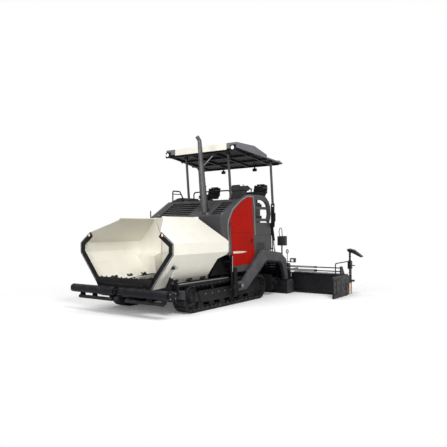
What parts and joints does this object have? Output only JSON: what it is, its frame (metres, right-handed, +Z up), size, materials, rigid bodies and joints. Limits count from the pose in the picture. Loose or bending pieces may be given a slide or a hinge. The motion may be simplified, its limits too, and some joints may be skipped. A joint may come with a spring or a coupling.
{
  "type": "asphalt paver",
  "caption": "Tracked asphalt paver with folding hopper wings, push rollers, louvred hood, folding roof, tow arms and a floating screed with sliding extensions and end gates",
  "frame": {"origin": "on the ground, under the middle of the machine's bounding box", "axes": "front faces -Y, left side is +X, up is +Z"},
  "size_m": [6.23, 6.5, 4.0356],
  "materials": {
    "cream_paint": "gloss sprayed paint",
    "red_paint": "gloss sprayed paint",
    "grey_paint": "satin sprayed paint",
    "black_paint": "satin sprayed paint",
    "roller_steel": "worn rolled steel",
    "track_steel": "dusty forged steel",
    "dark_steel": "satin dark paint",
    "rubber": "moulded rubber",
    "cylinder_rod": "polished chrome",
    "exhaust_metal": "heat-dulled steel",
    "roof_shell": "moulded shell",
    "seat_cloth": "woven seat cloth over foam",
    "console_plastic": "moulded plastic"
  },
  "bodies": {
    "root": {"chassis_frame": "black_paint", "hopper_back": "cream_paint", "track_left": "track_steel", "track_right": "track_steel", "track_frames": "track_steel", "hopper_floor": "dark_steel", "hood": "grey_paint", "hood_grilles": "black_paint", "body_sides": "grey_paint", "engine_block": "dark_steel", "platform_deck": "grey_paint", "exhaust": "exhaust_metal", "railings": "black_paint", "access_steps": "grey_paint", "console": "console_plastic", "auger_carrier": "black_paint"},
    "apron": {"front_apron": "rubber"},
    "push_beam": {"push_beam": "dark_steel"},
    "roof": {"roof_canopy": "roof_shell", "roof_panel": "cream_paint"},
    "posts_front": {"roof_posts_front": "grey_paint"},
    "posts_rear": {"roof_posts_rear": "grey_paint"},
    "tow_points": {"tow_points": "cylinder_rod"},
    "screed": {"tow_arms": "grey_paint", "screed_main": "dark_steel", "screed_walkway": "dark_steel", "screed_controls": "console_plastic"},
    "lift_cylinders": {"lift_cylinders": "black_paint"},
    "lift_rods": {"lift_rods": "cylinder_rod"},
    "wing_left": {"wing_left": "cream_paint", "wing_flap_left": "rubber"},
    "hopper_cylinder_left": {"hopper_cylinder_left": "black_paint"},
    "hopper_rod_left": {"hopper_rod_left": "cylinder_rod"},
    "push_roller_left": {"push_roller_left": "roller_steel"},
    "door_left": {"side_door_left": "red_paint"},
    "seat_left": {"seat_left": "seat_cloth", "seat_frame_left": "black_paint"},
    "extension_left": {"screed_extension_left": "dark_steel"},
    "gate_left": {"end_gate_left": "dark_steel"},
    "auger_left": {"auger_left": "track_steel"},
    "wing_right": {"wing_right": "cream_paint", "wing_flap_right": "rubber"},
    "hopper_cylinder_right": {"hopper_cylinder_right": "black_paint"},
    "hopper_rod_right": {"hopper_rod_right": "cylinder_rod"},
    "push_roller_right": {"push_roller_right": "roller_steel"},
    "door_right": {"side_door_right": "red_paint"},
    "seat_right": {"seat_right": "seat_cloth", "seat_frame_right": "black_paint"},
    "extension_right": {"screed_extension_right": "dark_steel"},
    "gate_right": {"end_gate_right": "dark_steel"},
    "auger_right": {"auger_right": "track_steel"}
  },
  "joints": [
    {"name": "wing_left_fold", "type": "hinge", "parent": "root", "child": "wing_left", "pos_m": [0.92, 0, 0.705], "axis": [0, 1, 0], "range_deg": [0, 33]},
    {"name": "hopper_cylinder_left_pivot", "type": "hinge", "parent": "root", "child": "hopper_cylinder_left", "pos_m": [1.01, -2.78, 0.56], "axis": [0, 1, 0], "range_deg": [0, 29.94]},
    {"name": "hopper_rod_left_slide", "type": "slide", "parent": "hopper_cylinder_left", "child": "hopper_rod_left", "axis": [0.4394, 0, 0.8983], "range_m": [-0.0936, 0]},
    {"name": "push_roller_left_spin", "type": "hinge", "parent": "push_beam", "child": "push_roller_left", "pos_m": [0.75, -3.16, 0.51], "axis": [1, 0, 0], "continuous": true},
    {"name": "door_left_hinge", "type": "hinge", "parent": "root", "child": "door_left", "pos_m": [1.146, -0.672, 1.54], "axis": [0, 0, 1], "range_deg": [-100, 0]},
    {"name": "seat_left_swivel", "type": "hinge", "parent": "root", "child": "seat_left", "pos_m": [0.78, 1.04, 2.65], "axis": [0, 0, 1], "range_deg": [-30, 30]},
    {"name": "extension_left_slide", "type": "slide", "parent": "screed", "child": "extension_left", "axis": [1, 0, 0], "range_m": [-1.2, 0]},
    {"name": "gate_left_lift", "type": "slide", "parent": "extension_left", "child": "gate_left", "axis": [0, 0, 1], "range_m": [0, 0.2]},
    {"name": "auger_left_spin", "type": "hinge", "parent": "root", "child": "auger_left", "pos_m": [0.6, 1.54, 0.33], "axis": [1, 0, 0], "continuous": true},
    {"name": "wing_right_fold", "type": "hinge", "parent": "root", "child": "wing_right", "pos_m": [-0.92, 0, 0.705], "axis": [0, -1, 0], "range_deg": [0, 33]},
    {"name": "hopper_cylinder_right_pivot", "type": "hinge", "parent": "root", "child": "hopper_cylinder_right", "pos_m": [-1.01, -2.78, 0.56], "axis": [0, -1, 0], "range_deg": [0, 29.94]},
    {"name": "hopper_rod_right_slide", "type": "slide", "parent": "hopper_cylinder_right", "child": "hopper_rod_right", "axis": [-0.4394, 0, 0.8983], "range_m": [-0.0936, 0]},
    {"name": "push_roller_right_spin", "type": "hinge", "parent": "push_beam", "child": "push_roller_right", "pos_m": [-0.75, -3.16, 0.51], "axis": [1, 0, 0], "continuous": true},
    {"name": "door_right_hinge", "type": "hinge", "parent": "root", "child": "door_right", "pos_m": [-1.146, -0.672, 1.54], "axis": [0, 0, -1], "range_deg": [-100, 0]},
    {"name": "seat_right_swivel", "type": "hinge", "parent": "root", "child": "seat_right", "pos_m": [-0.78, 1.04, 2.65], "axis": [0, 0, -1], "range_deg": [-30, 30]},
    {"name": "extension_right_slide", "type": "slide", "parent": "screed", "child": "extension_right", "axis": [-1, 0, 0], "range_m": [-1.2, 0]},
    {"name": "gate_right_lift", "type": "slide", "parent": "extension_right", "child": "gate_right", "axis": [0, 0, 1], "range_m": [0, 0.2]},
    {"name": "auger_right_spin", "type": "hinge", "parent": "root", "child": "auger_right", "pos_m": [-0.6, 1.54, 0.33], "axis": [1, 0, 0], "continuous": true},
    {"name": "apron_fold", "type": "hinge", "parent": "root", "child": "apron", "pos_m": [0, -3.03, 0.575], "axis": [1, 0, 0], "range_deg": [0, 45]},
    {"name": "push_beam_pivot", "type": "hinge", "parent": "root", "child": "push_beam", "pos_m": [0, -2.94, 0.455], "axis": [0, 0, 1], "range_deg": [-4, 4]},
    {"name": "tow_point_slide", "type": "slide", "parent": "root", "child": "tow_points", "axis": [0, 0, 1], "range_m": [0, 0.2]},
    {"name": "screed_lift", "type": "hinge", "parent": "tow_points", "child": "screed", "pos_m": [0, -0.38, 0.44], "axis": [1, 0, 0], "range_deg": [0, 10]},
    {"name": "lift_cylinder_pivot", "type": "hinge", "parent": "root", "child": "lift_cylinders", "pos_m": [0, 1.36, 1.9], "axis": [1, 0, 0], "range_deg": [-6.49, 0]},
    {"name": "lift_rod_slide", "type": "slide", "parent": "lift_cylinders", "child": "lift_rods", "axis": [0, 0.2265, -0.974], "range_m": [-0.3476, 0]},
    {"name": "roof_fold", "type": "hinge", "parent": "root", "child": "posts_rear", "pos_m": [0, 1.235, 2.44], "axis": [-1, 0, 0], "range_deg": [0, 60]},
    {"name": "roof_front_post_pivot", "type": "hinge", "parent": "root", "child": "posts_front", "pos_m": [0, 0.02, 2.57], "axis": [-1, 0, 0], "range_deg": [0, 60]},
    {"name": "roof_level", "type": "hinge", "parent": "posts_rear", "child": "roof", "pos_m": [0, 1.13913, 3.53581], "axis": [-1, 0, 0], "range_deg": [-60, 0]}
  ],
  "couplings": [
    {"joint": "hopper_cylinder_left_pivot", "follows": "wing_left_fold", "ratio": 0.892},
    {"joint": "hopper_rod_left_slide", "follows": "wing_left_fold", "m_per_rad": -0.1607},
    {"joint": "hopper_cylinder_right_pivot", "follows": "wing_right_fold", "ratio": 0.892},
    {"joint": "hopper_rod_right_slide", "follows": "wing_right_fold", "m_per_rad": -0.1607},
    {"joint": "lift_cylinder_pivot", "follows": "screed_lift", "ratio": -0.5987},
    {"joint": "lift_rod_slide", "follows": "screed_lift", "m_per_rad": -1.9858},
    {"joint": "roof_front_post_pivot", "follows": "roof_fold", "ratio": 1},
    {"joint": "roof_level", "follows": "roof_fold", "ratio": -1}
  ]
}
